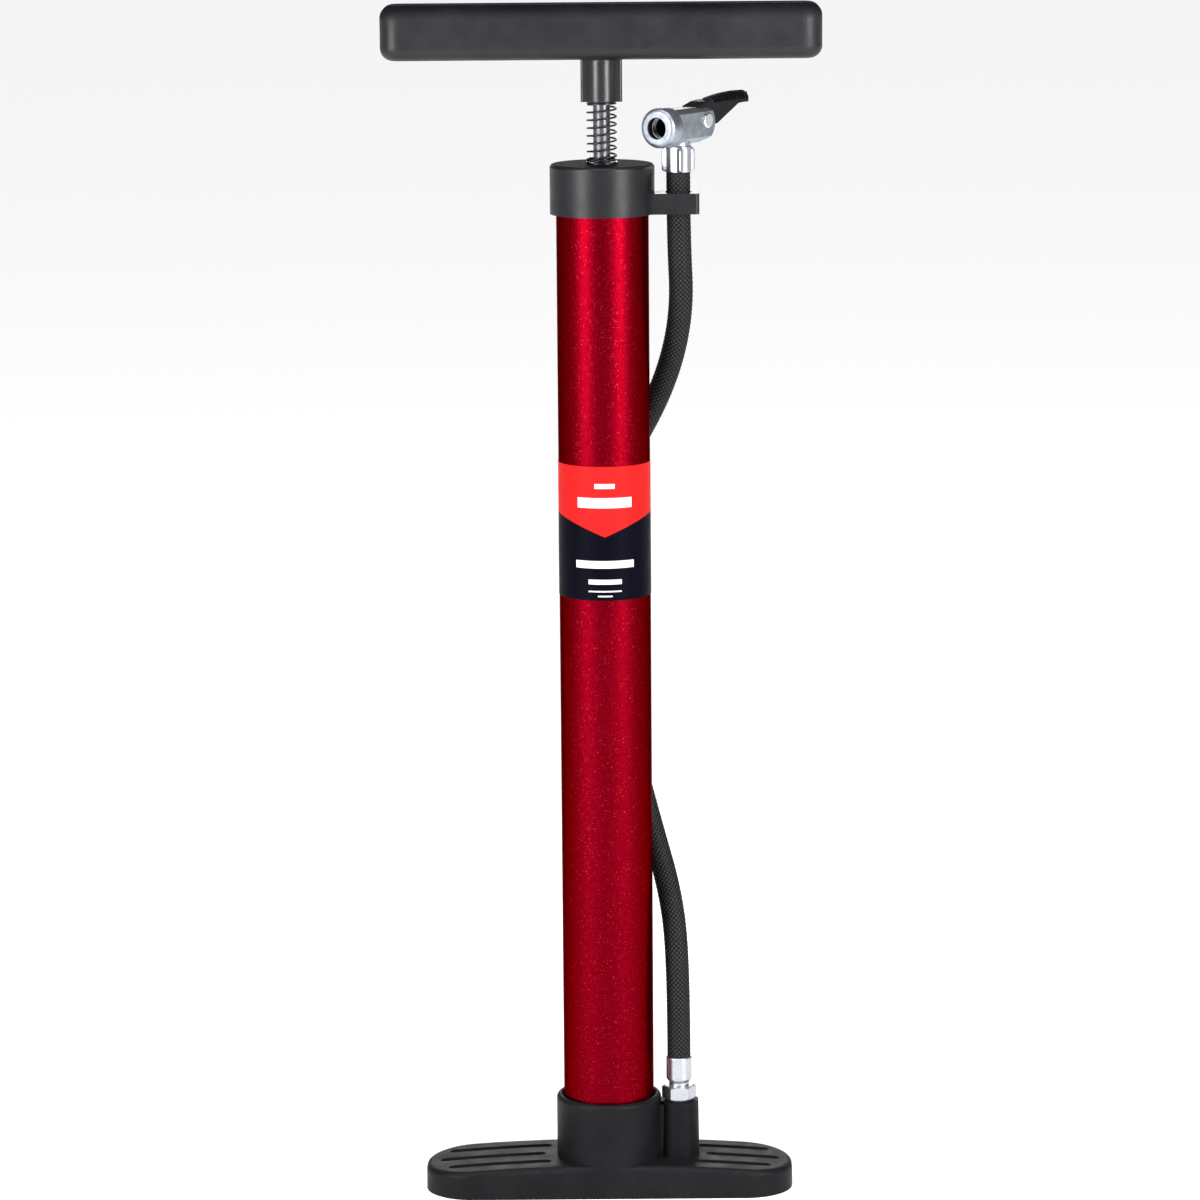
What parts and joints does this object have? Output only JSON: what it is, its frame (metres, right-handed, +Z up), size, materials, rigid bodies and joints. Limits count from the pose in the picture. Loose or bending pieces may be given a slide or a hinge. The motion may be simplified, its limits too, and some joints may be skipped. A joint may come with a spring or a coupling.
{
  "type": "floor bike pump",
  "caption": "Upright floor pump for bicycle tyres: winged foot, round tube, T handle on a sprung rod, air hose and clip-on valve head with a thumb lever.",
  "frame": {"origin": "the tube's axis at floor level, under the middle of the foot", "axes": "+Z up along the tube, X along the foot and the handle with the hose on +X, -Y is the front"},
  "size_m": [0.18, 0.0645, 0.4994],
  "materials": {
    "foot_plastic": "fine textured black plastic",
    "tube_paint": "metallic red lacquer",
    "label_film": "printed film",
    "cap_plastic": "matte black plastic",
    "handle_plastic": "textured black plastic",
    "rod_steel": "dark satin steel",
    "spring_steel": "dark spring steel",
    "fitting_chrome": "bright plated",
    "hose_braid": "black textile braid over rubber",
    "head_metal": "cast, lightly tumbled",
    "pin_metal": "bright",
    "jaw_steel": "bright steel strip",
    "lever_plastic": "black plastic",
    "valve_brass": "turned",
    "seal_rubber": "soft black rubber",
    "bush_plastic": "natural acetal"
  },
  "bodies": {
    "root": {"base_foot": "foot_plastic", "check_valve_seat": "valve_brass", "check_spring": "spring_steel", "barrel_seal_ring": "seal_rubber", "barrel": "tube_paint", "label_sticker": "label_film", "top_cap": "cap_plastic", "rod_guide_bush": "bush_plastic", "top_stop_ring": "seal_rubber", "hose_port_washer": "seal_rubber", "hose_nut": "fitting_chrome", "hose_stem": "fitting_chrome", "lower_ferrule": "fitting_chrome", "upper_ferrule": "fitting_chrome", "hose": "hose_braid", "head_body": "head_metal", "head_gasket": "seal_rubber", "head_valve_pin": "pin_metal", "lever_pivot_pin": "pin_metal", "lever_spring": "spring_steel"},
    "valve_ball": {"check_ball": "fitting_chrome"},
    "lever": {"head_lever": "lever_plastic", "head_jaw": "jaw_steel"},
    "spring_foot": {"spring_foot_washer": "spring_steel", "bumper_spring": "spring_steel"},
    "spring_seat": {"spring_seat_washer": "spring_steel"},
    "plunger": {"plunger_rod": "rod_steel", "handle_bar": "handle_plastic", "handle_insert": "rod_steel", "piston_guide": "bush_plastic", "piston_cup": "seal_rubber", "cup_retainer": "bush_plastic", "piston_washer": "rod_steel", "piston_nut": "rod_steel"}
  },
  "joints": [
    {"name": "plunger_turn", "type": "hinge", "parent": "root", "child": "spring_foot", "pos_m": [0, 0, 0.4345], "axis": [0, 0, 1], "continuous": true},
    {"name": "bumper_press", "type": "slide", "parent": "spring_foot", "child": "spring_seat", "axis": [0, 0, 1], "range_m": [-0.008, 0], "stiffness_N_per_m": 400, "springref_m": 0.009, "deforming": ["bumper_spring"]},
    {"name": "plunger_stroke", "type": "slide", "parent": "spring_seat", "child": "plunger", "axis": [0, 0, 1], "range_m": [0, 0.369]},
    {"name": "lever_press", "type": "hinge", "parent": "root", "child": "lever", "pos_m": [0.03864, 0.01103, 0.4508], "axis": [-0.829, 0.5592, 0], "range_deg": [0, 10], "stiffness_Nm_per_rad": 0.1, "springref_deg": -11.46},
    {"name": "valve_ball_drop", "type": "slide", "parent": "root", "child": "valve_ball", "axis": [0, 0, -1], "range_m": [0, 0.0015], "stiffness_N_per_m": 60, "springref_m": -0.002, "deforming": ["check_spring"]}
  ]
}
